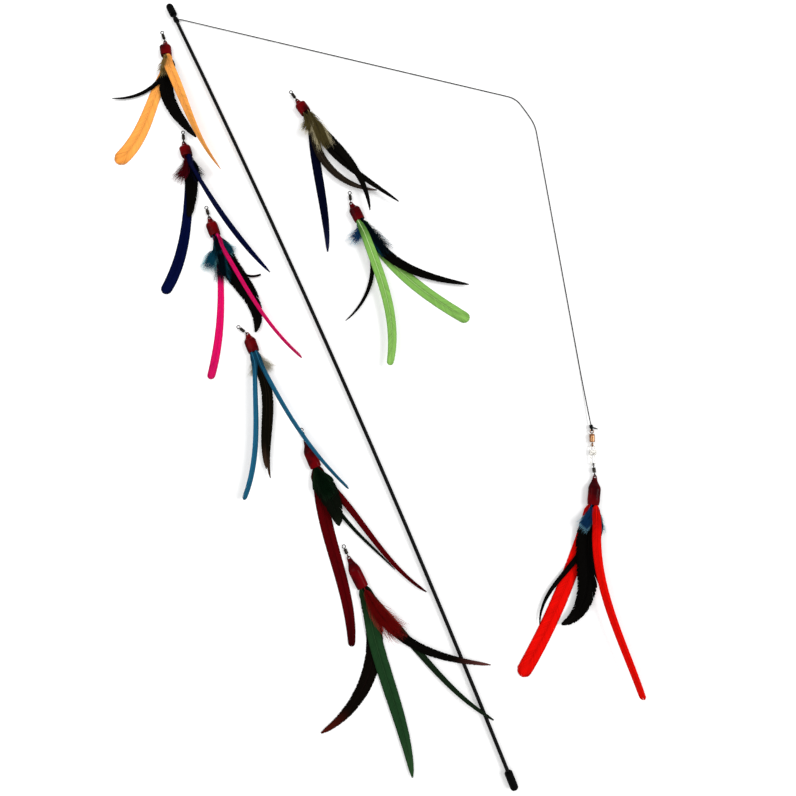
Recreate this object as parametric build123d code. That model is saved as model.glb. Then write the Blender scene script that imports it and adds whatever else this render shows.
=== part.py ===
from build123d import *
import math
import os
from typing import NamedTuple

# Cat teaser wand with its set of feather lures, in millimetres.
# +Y runs along the rod from the grip, +Z is up, and the origin is the rod's grip end, on its axis.
# The wand and the lures lie on one flat surface.

# Rod: a solid fibreglass stick with a slight set bend to the left
ROD_LENGTH = 839.0
ROD_DIAMETER = 3.5
ROD_BOW_RADIUS = 12000.0

# Rubber caps on both ends of the rod
CAP_DIAMETER = 7.5
TIP_CAP_LENGTH = 12.2
GRIP_CAP_LENGTH = 16.3
CAP_END_WALL = 2.4
CAP_END_RADIUS = 2.2
CAP_MOUTH_CHAMFER = 0.8
CAP_CLEARANCE = 0.02

# Line, whipped round the rod under the tip cap and tied to the swivel
LINE_DIAMETER = 0.9
WHIPPING_TURNS = 3
WHIPPING_PITCH = 1.4
WHIPPING_CLEARANCE = 0.05
WHIPPING_CAP_GAP = 3.7
KNOT_DIAMETER = 2.8
KNOT_LENGTH = 4.8
KNOT_WRAPS = 4
KNOT_GROOVE = 0.25
TAG_END_LENGTH = 3.2
TAG_END_ANGLE = 40.0
LOOP_CLEARANCE = 0.1
LINE_BEND_SHARE = 0.45

# Route of the line from the whipping to the knot
LINE_ROUTE = (
    (-24.07, 823.55, -2.4),
    (267.1, 609.7, -3.25),
    (271.0, 592.5, -3.25),
    (273.9, 575.5, -3.25),
    (208.7, 311.1, -3.25),
    (199.2, 272.3, -1.15),
)

# Height of every swivel's axis above the surface
AXIS_HEIGHT = 2.6

# Brass barrel swivel at the end of the line
SWIVEL_HEADING = -112.0
SWIVEL_BARREL_DIAMETER = 5.0
SWIVEL_BARREL_LENGTH = 8.0
SWIVEL_BARREL_WALL = 0.7
SWIVEL_WIRE = 0.9
SWIVEL_RING_RADIUS = 1.6

# Fits that all swivels share
STEM_SHARE = 0.85
STEM_CLEARANCE = 0.08
HEAD_CLEARANCE = 0.15
NECK_GAP = 0.4
BARREL_ROUND_SHARE = 0.35
HEAD_THICKNESS = 0.7

# Wire snap: a long hoop with a sprung gate and a folded keeper
SNAP_LENGTH = 19.0
SNAP_WIDTH = 5.5
SNAP_WIRE = 0.9
SEAT_GAP = 0.1
GATE_GAP = 0.1
KEEPER_START = 4.6
KEEPER_LENGTH = 4.6
KEEPER_SHEET = 0.4
KEEPER_CLEARANCE = 0.05
STUB_OVERLAP = 1.6

# Small dark swivel on every lure
LURE_BARREL_DIAMETER = 3.2
LURE_BARREL_LENGTH = 5.0
LURE_BARREL_WALL = 0.45
LURE_WIRE = 0.8
LURE_RING_RADIUS = 1.6
RED_SWIVEL_SWING = 12.0

# Heat-shrunk sleeve that holds the quills, flattened to a tab with a punched hole
SLEEVE_LENGTH = 25.0
SLEEVE_WIDTH = 11.5
SLEEVE_HEIGHT = 8.5
SLEEVE_WALL = 0.7
SLEEVE_MOUTH_DEPTH = 2.0
SLEEVE_CORNER_SHARE = 0.48
ROOT_ROOM_SHARE = 0.8
TAB_WIDTH = 5.0
TAB_THICKNESS = 1.2
TAB_HOLE_DIAMETER = 2.0
TAB_END_RADIUS = 1.9
SLEEVE_FLARE_SHARES = (
    (0.22, 0.44, 0.16),
    (0.30, 0.62, 0.42),
    (0.40, 0.90, 0.84),
    (0.50, 1.00, 1.00),
    (0.85, 0.99, 1.00),
    (1.00, 0.93, 0.95),
)

# Feathers: long tail feathers, shorter hackles and tufts of down
LONG_FEATHER_LENGTH = 160.0
LONG_FEATHER_WIDTH = 12.0
HACKLE_LENGTH = 120.0
HACKLE_WIDTH = 10.0
TUFT_LENGTH = 30.0
TUFT_WIDTH = 15.0
TUFT_THICKNESS = 3.6
TUFT_EDGE = 1.2
BLADE_THICKNESS = 1.2
BLADE_EDGE = 0.4
QUILL_DIAMETER = 1.3
QUILL_DEPTH = 6.0
QUILL_CLEARANCE = 0.05
QUILL_WIDTH_SHARE = 0.86
QUILL_EDGE_SHARE = 0.5
SPREAD_LENGTH = 22.0
GROUND_GAP = 0.3
LAYER_GAP = 0.7

# A feather is cut at these stations, and its outline gives the width there
STEPS = 50
STATION_SHARES = (0.0, 0.06, 0.12, 0.2, 0.3, 0.42, 0.56, 0.68, 0.8, 0.9, 0.96, 1.0)
LONG_OUTLINE_SHARES = (0.12, 0.5, 0.75, 0.85, 0.92, 0.97, 1.0, 1.0, 0.98, 0.88, 0.66, 0.2)
HACKLE_OUTLINE_SHARES = (0.12, 0.5, 0.85, 1.0, 1.0, 0.95, 0.85, 0.72, 0.55, 0.36, 0.2, 0.06)
TUFT_OUTLINE_SHARES = (0.12, 0.25, 0.42, 0.62, 0.82, 0.96, 1.0, 0.95, 0.82, 0.6, 0.38, 0.12)

UPWARD = (Align.CENTER, Align.CENTER, Align.MIN)
DOWNWARD = (Align.CENTER, Align.CENTER, Align.MAX)
FLOOR = -CAP_DIAMETER / 2
ROD_TOP = (CAP_DIAMETER + ROD_DIAMETER) / 2


class Feather(NamedTuple):
    """One feather: splay, curl, sweep and roll are degrees. From over_share on it clears the height over."""
    kind: str
    side_share: float
    length_share: float
    width_share: float
    splay: float = 0.0
    curl: float = 0.0
    sweep: float = 0.0
    roll: float = 0.0
    over: float = 0.0
    over_share: float = 1.0


class Lure(NamedTuple):
    """A lure's mouth place, in shares of the row unit, headings and layers of feathers."""
    place_shares: tuple
    heading: float
    swing: float
    sleeve_share: float
    layers: tuple


# Heights at which a feather lies over a piece of another lure or of the wand
OVER_SLEEVE = SLEEVE_HEIGHT + LAYER_GAP
OVER_SWIVEL = AXIS_HEIGHT + LURE_BARREL_DIAMETER / 2 + LAYER_GAP
OVER_ROD = ROD_TOP + LAYER_GAP
BLADE_LAYER = BLADE_THICKNESS + LAYER_GAP

# Unit of the places in the row, so that the lures lie as far apart as their feathers ask
ROW_LONG_SHARE = 3 / 4
ROW_HACKLE_SHARE = 1 / 3
ROW_UNIT = LONG_FEATHER_LENGTH * ROW_LONG_SHARE + HACKLE_LENGTH * ROW_HACKLE_SHARE

# Each lure's feathers lie in layers from the surface up
LURES = {
    "orange": Lure((-0.319, 4.926), -103, 9, 0.65, (
        (Feather("long", -0.42, 0.79, 1.1, -43, 83, -101),),
        (Feather("hackle", -0.15, 0.68, 0.45, -7, -125, 28),),
        (Feather("hackle", 0.2, 0.84, 1.0, -54, 185, -99),),
        (Feather("tuft", -0.3, 0.75, 0.75, -20),),
        (Feather("long", 0.42, 0.9, 0.85, 20, -36, 48, 58),),
    )),
    "navy": Lure((-0.428, 4.229), -95, -11, 0.62, (
        (Feather("long", -0.38, 0.91, 0.9, -18, 13, -43),),
        (Feather("hackle", 0.05, 0.55, 1.7, -20, 40, -40),),
        (Feather("tuft", -0.45, 0.85, 0.7, -36), Feather("tuft", 0.5, 1.0, 0.7, 12)),
        (Feather("long", 0.38, 0.96, 0.75, 11, 12, 5, 55),),
    )),
    "pink": Lure((-0.443, 3.67), -91, -4, 0.8, (
        (Feather("long", -0.38, 0.91, 0.62, -13, -11, -11),),
        (Feather("hackle", 0.1, 0.92, 1.9, -31, 187, -197),),
        (Feather("tuft", -0.35, 1.4, 0.8, -22), Feather("tuft", 0.4, 0.9, 0.7, 34)),
        (Feather("long", 0.38, 0.97, 0.72, 12, -19, 37, 62),),
    )),
    "blue": Lure((-0.48, 2.887), -90, 30, 0.78, (
        (Feather("tuft", -0.4, 0.8, 0.7, -32), Feather("tuft", 0.4, 0.8, 0.75, 34)),
        (Feather("hackle", 0.0, 1.01, 1.4, 29, -172, 139),),
        (Feather("long", -0.38, 0.9, 0.65, -23, 29, -50, -66),
         Feather("long", 0.38, 1.02, 0.65, 5, 7, 14, 55, OVER_SLEEVE, 0.5)),
    )),
    "maroon": Lure((-0.384, 2.09), -89, -3, 1.1, (
        (Feather("long", -0.42, 1.06, 1.0, -24, 71, -71),),
        (Feather("hackle", 0.15, 1.03, 0.35, -15, 100, -64),),
        (Feather("long", 0.42, 0.98, 0.65, 29, -64, 71, 12),),
        (Feather("hackle", -0.1, 0.5, 2.0, 6, 17, -41),),
        (Feather("tuft", 0.2, 1.0, 0.9, 4),),
    )),
    "forest": Lure((-0.383, 1.338), -85, -3, 1.2, (
        (Feather("hackle", -0.3, 1.25, 1.5, 3, -95, 3),),
        (Feather("long", -0.38, 1.09, 1.05, -23, 55, -52),
         Feather("long", 0.38, 1.05, 0.6, 20, -31, 45, 12, OVER_ROD, 0.85)),
        (Feather("hackle", 0.3, 1.2, 0.85, -15, 134, -62, 0, OVER_ROD, 0.7),),
        (Feather("tuft", 0.1, 1.9, 1.25, 12),),
    )),
    "olive": Lure((0.376, 4.218), -78, 1, 0.68, (
        (Feather("long", -0.38, 0.93, 0.72, -32, 33, -34),),
        (Feather("hackle", -0.1, 1.01, 0.8, -42, 86, 10, 0, OVER_SWIVEL, 0.6),),
        (Feather("hackle", 0.3, 1.15, 0.75, -25, 109, -65, 0, OVER_SWIVEL + BLADE_LAYER, 0.6),),
        (Feather("hackle", 0.05, 1.07, 0.8, 8, 15, -53, 0, OVER_SWIVEL + 2 * BLADE_LAYER, 0.6),),
        (Feather("tuft", -0.45, 0.8, 0.6, -52), Feather("tuft", 0.55, 1.25, 1.2, 16)),
    )),
    "green": Lure((0.43, 3.422), -85, -20, 0.8, (
        (Feather("long", 0.38, 0.94, 0.95, -2, 58, -24),),
        (Feather("hackle", -0.3, 0.94, 0.45, 13, -97, 6),),
        (Feather("hackle", 0.3, 1.11, 0.95, -13, 124, -57),),
        (Feather("tuft", -0.12, 0.8, 0.75, -46), Feather("tuft", 0.58, 1.4, 0.9, 22)),
        (Feather("long", -0.38, 0.96, 0.85, -9, 20, -51),),
    )),
    "red": Lure((0, 0), -119, RED_SWIVEL_SWING, 1.05, (
        (Feather("long", -0.42, 1.05, 1.15, -10, -15, -1),),
        (Feather("hackle", -0.15, 1.05, 0.5, 37, -261, 235),),
        (Feather("hackle", 0.1, 1.01, 2.2, -40, 209, -240),),
        (Feather("tuft", -0.35, 0.8, 0.8, -38), Feather("tuft", 0.62, 0.9, 0.6, 18)),
        (Feather("long", 0.38, 1.08, 0.9, -8, 90, -58, 42),),
    )),
}


def ease(share):
    """Smooth step from 0 to 1."""
    share = min(max(share, 0.0), 1.0)
    return share * share * (3 - 2 * share)


def heading_vector(degrees):
    return Vector(math.cos(math.radians(degrees)), math.sin(math.radians(degrees)), 0)


def solids_of(*shapes):
    return [solid for shape in shapes for solid in shape.solids()]


# Rod and caps
def rod_place(station):
    """Where the rod's axis is at a length along it, with local +Y along the rod."""
    angle = station / ROD_BOW_RADIUS
    place = (ROD_BOW_RADIUS * (math.cos(angle) - 1), ROD_BOW_RADIUS * math.sin(angle), 0)
    return Location(place, (0, 0, math.degrees(angle)))


def make_rod():
    centre = Axis((-ROD_BOW_RADIUS, 0, 0), (0, 0, 1))
    section = Plane.XZ * Circle(ROD_DIAMETER / 2)
    return revolve(section, centre, math.degrees(ROD_LENGTH / ROD_BOW_RADIUS))


def make_cap(length):
    """A cap on a rod end that points along +Y, with the rod's end at the origin."""
    depth = length - CAP_END_WALL
    body = Pos(0, 0, -depth) * Cylinder(CAP_DIAMETER / 2, length, align=UPWARD)
    rims = body.edges().filter_by(GeomType.CIRCLE).sort_by(Axis.Z)
    body = fillet(rims[-1], CAP_END_RADIUS)
    mouth = body.edges().filter_by(GeomType.CIRCLE).sort_by(Axis.Z)[0]
    body = chamfer(mouth, CAP_MOUTH_CHAMFER)
    bore = Cylinder(ROD_DIAMETER / 2 + CAP_CLEARANCE, depth, align=DOWNWARD)
    return Rot(-90, 0, 0) * (body - bore)


# Line, its whipping and its knot
WHIPPING_RADIUS = ROD_DIAMETER / 2 + WHIPPING_CLEARANCE + LINE_DIAMETER / 2
TIP_CAP_MOUTH = ROD_LENGTH - (TIP_CAP_LENGTH - CAP_END_WALL)
WHIPPING_END = TIP_CAP_MOUTH - WHIPPING_CAP_GAP - LINE_DIAMETER / 2


def whipping_path():
    """Turns of line about local +Y, as half-turn arcs from under the rod, over it and down again."""
    length = WHIPPING_TURNS * WHIPPING_PITCH
    side = math.hypot(WHIPPING_RADIUS, WHIPPING_PITCH / 4)
    edges = [Line((-LINE_DIAMETER, -length, -WHIPPING_RADIUS), (0, -length, -WHIPPING_RADIUS))]
    for half in range(2 * WHIPPING_TURNS):
        up = 1 if half % 2 == 0 else -1
        start = -length + half * WHIPPING_PITCH / 2
        low = (0, start, -up * WHIPPING_RADIUS)
        middle = (up * side, start + WHIPPING_PITCH / 4, 0)
        high = (0, start + WHIPPING_PITCH / 2, up * WHIPPING_RADIUS)
        edges.append(ThreePointArc(low, middle, high))
    edges.append(Line((0, 0, -WHIPPING_RADIUS), (LINE_DIAMETER, 0, -WHIPPING_RADIUS)))
    return Wire(edges)


def least_turn_gap(path):
    """Least gap between one turn and the next, from points along the path."""
    per_turn = 48
    count = per_turn * WHIPPING_TURNS
    points = [path.position_at(n / count) for n in range(count + 1)]
    apart = [
        (points[n] - points[m]).length
        for n in range(count + 1)
        for m in range(n + per_turn // 2, count + 1)
    ]
    return min(apart) - LINE_DIAMETER


def make_whipping():
    path = whipping_path()
    print("whipping: least gap between turns", round(least_turn_gap(path), 3))
    section = Plane(path @ 0, z_dir=path % 0) * Circle(LINE_DIAMETER / 2)
    return rod_place(WHIPPING_END) * sweep(section, path)


def make_line():
    exit_place = rod_place(WHIPPING_END) * Location((LINE_DIAMETER, 0, -WHIPPING_RADIUS))
    points = [exit_place.position] + [Vector(*point) for point in LINE_ROUTE]
    runs = [points[n + 1] - points[n] for n in range(len(points) - 1)]
    radii = []
    for before, after in zip(runs, runs[1:]):
        half_turn = math.radians(before.get_angle(after)) / 2
        radii.append(LINE_BEND_SHARE * min(before.length, after.length) / math.tan(half_turn))
    print("line: exit", [round(c, 2) for c in points[0]], "radii", [round(r, 1) for r in radii])
    path = FilletPolyline(*points, radius=radii)
    section = Plane(path @ 0, z_dir=path % 0) * Circle(LINE_DIAMETER / 2)
    tube = sweep(section, path)
    expected = math.pi * LINE_DIAMETER ** 2 / 4 * path.length
    print("line: length", round(path.length, 1), "volume share", round(tube.volume / expected, 4))
    return tube


LINE_END = Vector(*LINE_ROUTE[-1])
LAST_RUN = LINE_END - Vector(*LINE_ROUTE[-2])
LINE_HEADING = math.degrees(math.atan2(LAST_RUN.Y, LAST_RUN.X))
KNOT_PLACE = LINE_END + heading_vector(LINE_HEADING) * KNOT_LENGTH


def make_knot():
    """Wraps of line along local X that end in a loop round the swivel's eye, which is at the origin."""
    loop_radius = (SWIVEL_WIRE + LINE_DIAMETER) / 2 + LOOP_CLEARANCE
    knot = Rot(90, 0, 0) * Torus(loop_radius, LINE_DIAMETER / 2)
    wraps_end = -loop_radius
    wrap = (KNOT_LENGTH + wraps_end) / KNOT_WRAPS
    for n in range(KNOT_WRAPS):
        middle = -KNOT_LENGTH + wrap * (n + 0.5)
        rib = Cylinder(KNOT_DIAMETER / 2, wrap)
        rib = chamfer(rib.edges().filter_by(GeomType.CIRCLE), KNOT_GROOVE)
        knot = knot + Pos(middle, 0, 0) * Rot(0, 90, 0) * rib
    tag_start = Pos(-KNOT_LENGTH / 2, 0, 0) * Rot(0, 0, TAG_END_ANGLE) * Rot(0, 90, 0)
    tag = Cylinder(LINE_DIAMETER / 2, TAG_END_LENGTH, align=UPWARD)
    knot = knot + tag_start * tag
    return Location(KNOT_PLACE, (0, 0, LINE_HEADING)) * knot


# Barrel swivels: a hollow barrel that holds the headed stem of an eye at each end
class Swivel(NamedTuple):
    barrel_diameter: float
    barrel_length: float
    wall: float
    wire: float
    ring_radius: float

    @property
    def stem_radius(self):
        return self.wire / 2 * STEM_SHARE

    @property
    def ring_offset(self):
        """From the barrel's end to the ring's centre."""
        return NECK_GAP + self.wire / 2 + self.ring_radius


WAND_SWIVEL = Swivel(
    SWIVEL_BARREL_DIAMETER, SWIVEL_BARREL_LENGTH, SWIVEL_BARREL_WALL, SWIVEL_WIRE, SWIVEL_RING_RADIUS)
LURE_SWIVEL = Swivel(
    LURE_BARREL_DIAMETER, LURE_BARREL_LENGTH, LURE_BARREL_WALL, LURE_WIRE, LURE_RING_RADIUS)


def make_barrel(swivel):
    """A barrel along X about the origin, with a cavity and a stem hole at each end."""
    outside = Rot(0, 90, 0) * Cylinder(swivel.barrel_diameter / 2, swivel.barrel_length)
    rims = outside.edges().filter_by(GeomType.CIRCLE)
    outside = fillet(rims, swivel.barrel_diameter / 2 * BARREL_ROUND_SHARE)
    cavity = Cylinder(swivel.barrel_diameter / 2 - swivel.wall, swivel.barrel_length - 2 * swivel.wall)
    holes = Cylinder(swivel.stem_radius + STEM_CLEARANCE, swivel.barrel_length)
    return outside - Rot(0, 90, 0) * cavity - Rot(0, 90, 0) * holes


def make_eye(swivel, upright):
    """An eye on a barrel's +X end, with its headed stem inside the barrel, which is about the origin."""
    end = swivel.barrel_length / 2
    ring = Rot(90 if upright else 0, 0, 0) * Torus(swivel.ring_radius, swivel.wire / 2)
    eye = Pos(end + swivel.ring_offset, 0, 0) * ring
    head_end = end - swivel.wall - HEAD_CLEARANCE
    stem_length = end + NECK_GAP + swivel.wire / 2 - head_end
    stem = Cylinder(swivel.stem_radius, stem_length, align=UPWARD)
    head_radius = (swivel.stem_radius + swivel.barrel_diameter / 2 - swivel.wall) / 2
    head = Cylinder(head_radius, HEAD_THICKNESS, align=DOWNWARD)
    return eye + Pos(head_end, 0, 0) * Rot(0, 90, 0) * (stem + head)


SWIVEL_FORWARD = heading_vector(SWIVEL_HEADING)
SWIVEL_REACH = WAND_SWIVEL.ring_radius + WAND_SWIVEL.ring_offset + WAND_SWIVEL.barrel_length / 2
SWIVEL_CENTRE = KNOT_PLACE + SWIVEL_FORWARD * SWIVEL_REACH
SWIVEL_PLACE = Location(SWIVEL_CENTRE, (0, 0, SWIVEL_HEADING))


# Snap: its own X runs from the loop in the swivel's eye to the hoop that takes the lure
LOOP_SEAT = SWIVEL_RING_RADIUS - SWIVEL_WIRE / 2 - SNAP_WIRE / 2 - SEAT_GAP
LOOP_REACH = SWIVEL_BARREL_LENGTH / 2 + WAND_SWIVEL.ring_offset + LOOP_SEAT
SNAP_PIVOT = SWIVEL_CENTRE + SWIVEL_FORWARD * LOOP_REACH
SNAP_PLACE = Location(SNAP_PIVOT, (0, 0, SWIVEL_HEADING))
SNAP_RADIUS = (SNAP_WIDTH - SNAP_WIRE) / 2
SNAP_REACH = SNAP_LENGTH - SNAP_WIRE
HOOP_X = SNAP_REACH - SNAP_RADIUS
GATE_PIVOT = SNAP_PLACE * Location((HOOP_X, -SNAP_RADIUS, 0))


def make_snap_wire():
    """Stub, loop, fixed leg and hoop, bent from one wire."""
    stub_end = KEEPER_START + STUB_OVERLAP
    path = Wire([
        Line((stub_end, -SNAP_RADIUS, 0), (SNAP_RADIUS, -SNAP_RADIUS, 0)),
        ThreePointArc((SNAP_RADIUS, -SNAP_RADIUS, 0), (0, 0, 0), (SNAP_RADIUS, SNAP_RADIUS, 0)),
        Line((SNAP_RADIUS, SNAP_RADIUS, 0), (HOOP_X, SNAP_RADIUS, 0)),
        ThreePointArc((HOOP_X, SNAP_RADIUS, 0), (SNAP_REACH, 0, 0), (HOOP_X, -SNAP_RADIUS, 0)),
    ])
    section = Plane(path @ 0, z_dir=path % 0) * Circle(SNAP_WIRE / 2)
    return SNAP_PLACE * sweep(section, path)


def make_snap_gate():
    """The sprung leg, from a round end at the hoop to a round end inside the keeper."""
    free_end = KEEPER_START + STUB_OVERLAP + SNAP_WIRE + 2 * GATE_GAP
    fixed_end = HOOP_X - SNAP_WIRE / 2 - GATE_GAP
    leg = Cylinder(SNAP_WIRE / 2, fixed_end - free_end, align=UPWARD)
    leg = Pos(free_end, 0, 0) * Rot(0, 90, 0) * leg
    gate = leg + Pos(fixed_end, 0, 0) * Sphere(SNAP_WIRE / 2) + Pos(free_end, 0, 0) * Sphere(SNAP_WIRE / 2)
    return SNAP_PLACE * Pos(0, -SNAP_RADIUS, 0) * gate


def make_snap_keeper():
    """A folded strip round both legs, open on the gate's side."""
    inside = SNAP_WIRE + 2 * KEEPER_CLEARANCE
    width = SNAP_WIDTH + KEEPER_CLEARANCE + KEEPER_SHEET
    corner = (Align.MIN, Align.MAX, Align.CENTER)
    outer = Box(KEEPER_LENGTH, width, inside + 2 * KEEPER_SHEET, align=corner)
    slot = Box(KEEPER_LENGTH, width - KEEPER_SHEET, inside, align=corner)
    strip = outer - Pos(0, -KEEPER_SHEET, 0) * slot
    side = SNAP_WIDTH / 2 + KEEPER_CLEARANCE + KEEPER_SHEET
    return SNAP_PLACE * Pos(KEEPER_START, side, 0) * strip


# Lures: each is built with its tab hole at the origin, its feathers along +X and the surface at Z = 0
LURE_REACH = LURE_RING_RADIUS + LURE_SWIVEL.ring_offset + LURE_BARREL_LENGTH / 2
EYE_REACH = LURE_REACH + LURE_BARREL_LENGTH / 2 + LURE_SWIVEL.ring_offset


def make_lure_swivel(swing, eye_upright):
    """The upper eye, and the barrel with the lower eye, turned about the tab hole."""
    turned = Pos(0, 0, AXIS_HEIGHT) * Rot(0, 0, swing) * Pos(-LURE_REACH, 0, 0)
    eye = turned * Rot(0, 0, 180) * make_eye(LURE_SWIVEL, eye_upright)
    body = solids_of(turned * make_barrel(LURE_SWIVEL), turned * make_eye(LURE_SWIVEL, True))
    return eye, Compound(body)


def root_place(lure, layer, feather):
    """Side and height of a quill in the sleeve's mouth."""
    room = SLEEVE_HEIGHT - 2 * SLEEVE_WALL - QUILL_DIAMETER - 2 * QUILL_CLEARANCE
    row = layer / (len(lure.layers) - 1) - 0.5
    return feather.side_share * SLEEVE_WIDTH / 2, SLEEVE_HEIGHT / 2 + row * room * ROOT_ROOM_SHARE


def make_sleeve(lure):
    mouth = SLEEVE_LENGTH * lure.sleeve_share
    tab_start = SLEEVE_FLARE_SHARES[0][0] * mouth
    tab = Cylinder(TAB_END_RADIUS, TAB_THICKNESS)
    tab_outline = Polyline(
        (0, -TAB_END_RADIUS),
        (tab_start, -TAB_WIDTH / 2),
        (tab_start, TAB_WIDTH / 2),
        (0, TAB_END_RADIUS),
        close=True,
    )
    plate = extrude(make_face(tab_outline), TAB_THICKNESS / 2, both=True)
    sections = []
    for along, wide, high in SLEEVE_FLARE_SHARES:
        width = SLEEVE_WIDTH * wide
        height = max(SLEEVE_HEIGHT * high, TAB_THICKNESS)
        centre = AXIS_HEIGHT + (SLEEVE_HEIGHT / 2 - AXIS_HEIGHT) * high
        plane = Plane((along * mouth, 0, centre), x_dir=(0, 1, 0), z_dir=(1, 0, 0))
        sections.append(plane * RectangleRounded(width, height, SLEEVE_CORNER_SHARE * height))
    body = loft(sections, ruled=True)
    body = body + Pos(0, 0, AXIS_HEIGHT) * (tab + plate)
    body = body - Pos(0, 0, AXIS_HEIGHT) * Cylinder(TAB_HOLE_DIAMETER / 2, 2 * TAB_THICKNESS)
    inner_width = SLEEVE_WIDTH * SLEEVE_FLARE_SHARES[-1][1] - 2 * SLEEVE_WALL
    inner_height = SLEEVE_HEIGHT * SLEEVE_FLARE_SHARES[-1][2] - 2 * SLEEVE_WALL
    rim = Plane((mouth - SLEEVE_MOUTH_DEPTH, 0, SLEEVE_HEIGHT / 2), x_dir=(0, 1, 0), z_dir=(1, 0, 0))
    hollow = RectangleRounded(inner_width, inner_height, SLEEVE_CORNER_SHARE * inner_height)
    recess = extrude(rim * hollow, 2 * SLEEVE_MOUTH_DEPTH)
    body = body - recess
    bore = Cylinder(QUILL_DIAMETER / 2 + QUILL_CLEARANCE, 2 * QUILL_DEPTH)
    for layer, feathers in enumerate(lure.layers):
        for feather in feathers:
            side, height = root_place(lure, layer, feather)
            body = body - Pos(mouth, side, height) * Rot(0, 90, 0) * bore
    return body


def blade_sizes(feather):
    """Length, width, thickness, edge and outline of a feather."""
    if feather.kind == "long":
        sizes = (LONG_FEATHER_LENGTH, LONG_FEATHER_WIDTH, BLADE_THICKNESS, BLADE_EDGE, LONG_OUTLINE_SHARES)
    elif feather.kind == "hackle":
        sizes = (HACKLE_LENGTH, HACKLE_WIDTH, BLADE_THICKNESS, BLADE_EDGE, HACKLE_OUTLINE_SHARES)
    else:
        sizes = (TUFT_LENGTH, TUFT_WIDTH, TUFT_THICKNESS, TUFT_EDGE, TUFT_OUTLINE_SHARES)
    length, width, thickness, edge, outline = sizes
    return length * feather.length_share, width * feather.width_share, thickness, edge, outline


def half_height(feather):
    """Half the height that a feather takes up where it is widest."""
    _, width, thickness, edge, _ = blade_sizes(feather)
    roll = math.radians(abs(feather.roll))
    return max((width * math.sin(roll) + edge * math.cos(roll)) / 2, thickness * math.cos(roll) / 2)


def blade_section(centre, heading, roll, width, thickness, edge):
    """A closed six-sided lens across a feather."""
    across = Vector(-math.sin(heading), math.cos(heading), 0)
    up = Vector(0, 0, 1)
    wide = across * math.cos(roll) + up * math.sin(roll)
    thick = up * math.cos(roll) - across * math.sin(roll)
    outline = ((1, 1), (0, 1), (-1, 1), (-1, -1), (0, -1), (1, -1))
    corners = []
    for side, face in outline:
        tall = edge if side else thickness
        corners.append(centre + wide * (side * width / 2) + thick * (face * tall / 2))
    return Wire.make_polygon(corners, close=True)


def make_feather(lure, layer, feather, level):
    """A blade from its quill in the sleeve, which spreads and rises to its level above the surface."""
    length, width, thickness, edge, outline = blade_sizes(feather)
    side, height = root_place(lure, layer, feather)
    mouth = SLEEVE_LENGTH * lure.sleeve_share
    cruise = level + half_height(feather)
    quill = (QUILL_WIDTH_SHARE * QUILL_DIAMETER, QUILL_DIAMETER, QUILL_EDGE_SHARE * QUILL_DIAMETER)
    sections = [blade_section(Vector(mouth - QUILL_DEPTH, side, height), 0, 0, *quill)]
    point = Vector(mouth, side, 0)
    heading = 0.0
    stations = {round(share * STEPS): wide for share, wide in zip(STATION_SHARES, outline)}
    for step in range(STEPS + 1):
        share = step / STEPS
        spread = ease(share * length / SPREAD_LENGTH)
        if step in stations:
            lifted = max(feather.over - level, 0) * ease(2 * share / feather.over_share - 1)
            rise = height + (cruise - height) * spread + lifted
            sizes = [
                start + (full - start) * spread
                for start, full in zip(quill, (width * stations[step], thickness, edge))
            ]
            roll = math.radians(feather.roll) * spread
            centre = Vector(point.X, point.Y, rise)
            sections.append(blade_section(centre, heading, roll, *sizes))
        heading = math.radians(feather.splay * spread + feather.curl * share + feather.sweep * share * share)
        point = point + Vector(math.cos(heading), math.sin(heading), 0) * (length / STEPS)
    return Solid.make_loft(sections, ruled=True)


def make_feathers(lure):
    """Long feathers and trim of a lure, stacked in layers from the surface up."""
    level = GROUND_GAP
    tails, trim = [], []
    for layer, feathers in enumerate(lure.layers):
        for feather in feathers:
            blade = make_feather(lure, layer, feather, level)
            (tails if feather.kind == "long" else trim).append(blade)
        level += 2 * max(half_height(feather) for feather in feathers) + LAYER_GAP
    return Compound(tails), Compound(trim)


def spare_place(lure):
    """Place of a spare lure's tab hole on the surface."""
    mouth = SLEEVE_LENGTH * lure.sleeve_share
    along = heading_vector(lure.heading) * mouth
    x_share, y_share = lure.place_shares
    place = Vector(x_share * ROW_UNIT, y_share * ROW_UNIT, FLOOR) - along
    return Location(place, (0, 0, lure.heading))


# The red lure hangs on the snap's hoop, so its place follows the chain
RED_FORWARD = heading_vector(LURES["red"].heading + RED_SWIVEL_SWING)
HOOP_CENTRE = (SNAP_PLACE * Location((HOOP_X, 0, 0))).position
HOOK_POINT = HOOP_CENTRE + RED_FORWARD * SNAP_RADIUS
EYE_SEAT = LURE_RING_RADIUS - LURE_WIRE / 2 - SNAP_WIRE / 2 - SEAT_GAP


def red_place():
    """Place of the red lure's tab hole on the surface."""
    hole = HOOK_POINT + RED_FORWARD * (EYE_SEAT + EYE_REACH)
    return Location((hole.X, hole.Y, FLOOR), (0, 0, LURES["red"].heading))


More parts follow.
